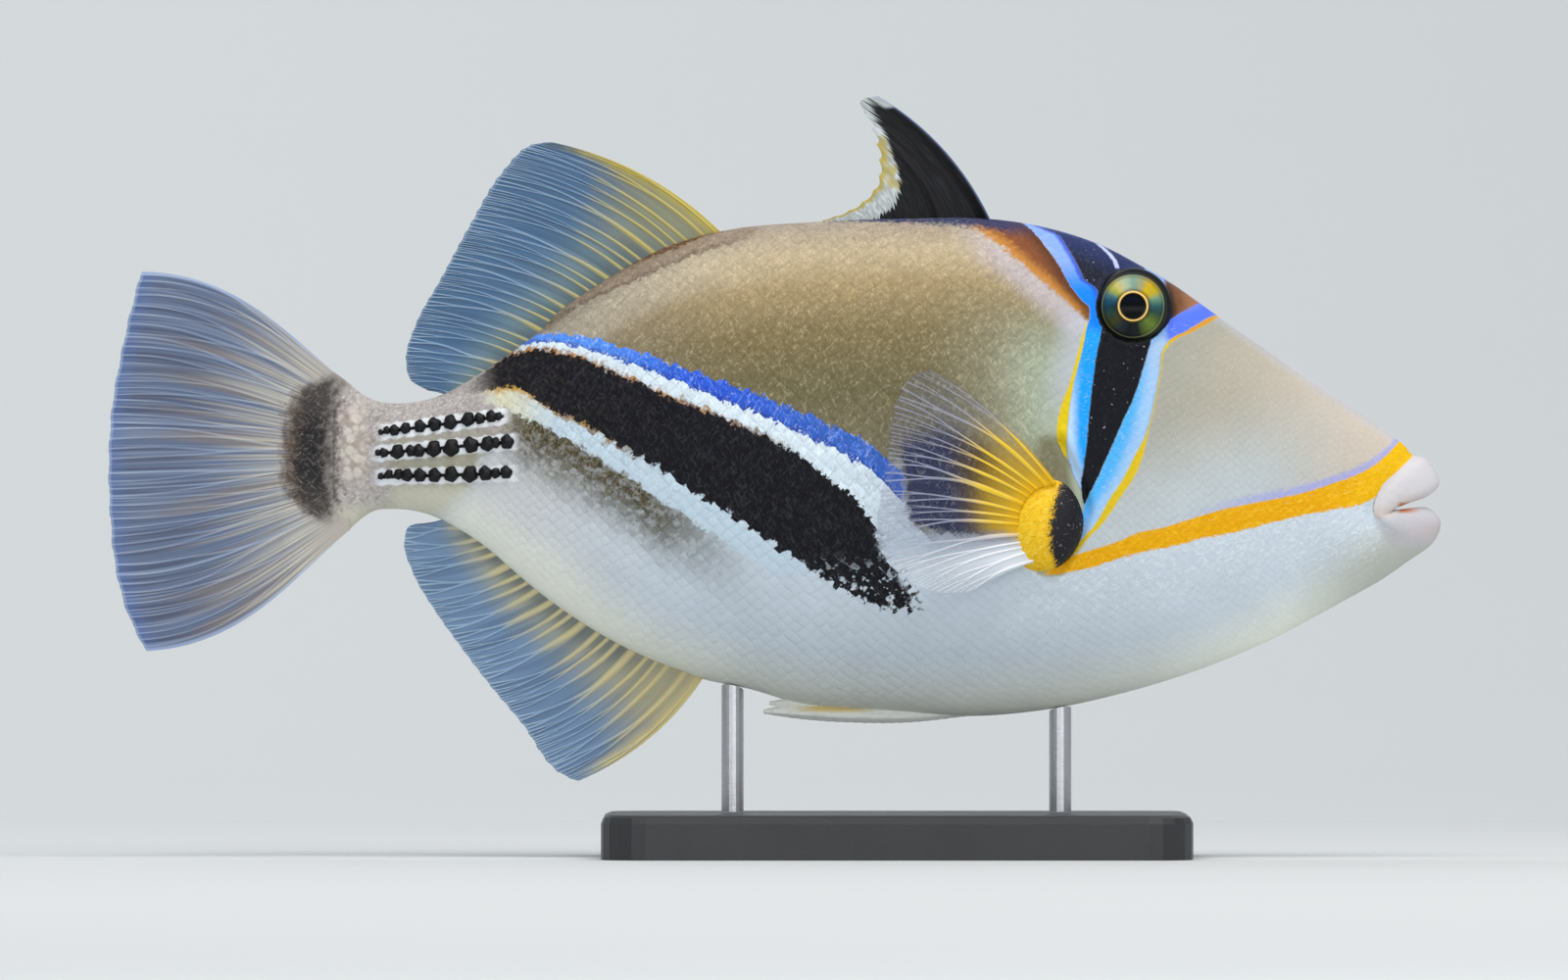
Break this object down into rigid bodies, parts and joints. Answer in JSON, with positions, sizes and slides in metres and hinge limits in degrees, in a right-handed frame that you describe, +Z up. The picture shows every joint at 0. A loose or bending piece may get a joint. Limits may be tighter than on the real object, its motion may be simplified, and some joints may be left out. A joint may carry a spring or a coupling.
{
  "type": "picasso triggerfish model",
  "caption": "Life-size picasso triggerfish swimming level, fins spread, held on a flat base by short rods.",
  "frame": {"origin": "on the floor, below the middle of the fish's length, in its middle plane", "axes": "+X towards the snout, +Y to the fish's left side, +Z up"},
  "size_m": [0.24, 0.066, 0.1372],
  "materials": {
    "head_skin": "satin skin with fine scales",
    "torso_skin": "satin skin with fine scales",
    "stalk_skin": "satin skin with rows of small black spines",
    "lips": "smooth satin",
    "eyes": "wet gloss",
    "spiny_fin": "satin skin between stout spines",
    "clear_fins": "thin ribbed membrane",
    "pectoral_fins": "thin ribbed membrane on a fleshy lobe",
    "pelvic_skin": "rough satin skin",
    "stand_base": "satin black paint",
    "stand_rods": "brushed"
  },
  "bodies": {
    "root": {"head": "head_skin", "torso": "torso_skin", "tail_stalk": "stalk_skin", "upper_lip": "lips", "lower_lip": "lips", "eye_right": "eyes", "eye_left": "eyes", "spiny_dorsal_fin": "spiny_fin", "soft_dorsal_fin": "clear_fins", "anal_fin": "clear_fins", "caudal_fin": "clear_fins", "pectoral_fin_right": "pectoral_fins", "pectoral_fin_left": "pectoral_fins", "pelvic_spine": "pelvic_skin", "stand_base": "stand_base", "stand_rod_front": "stand_rods", "stand_rod_rear": "stand_rods"}
  },
  "joints": []
}
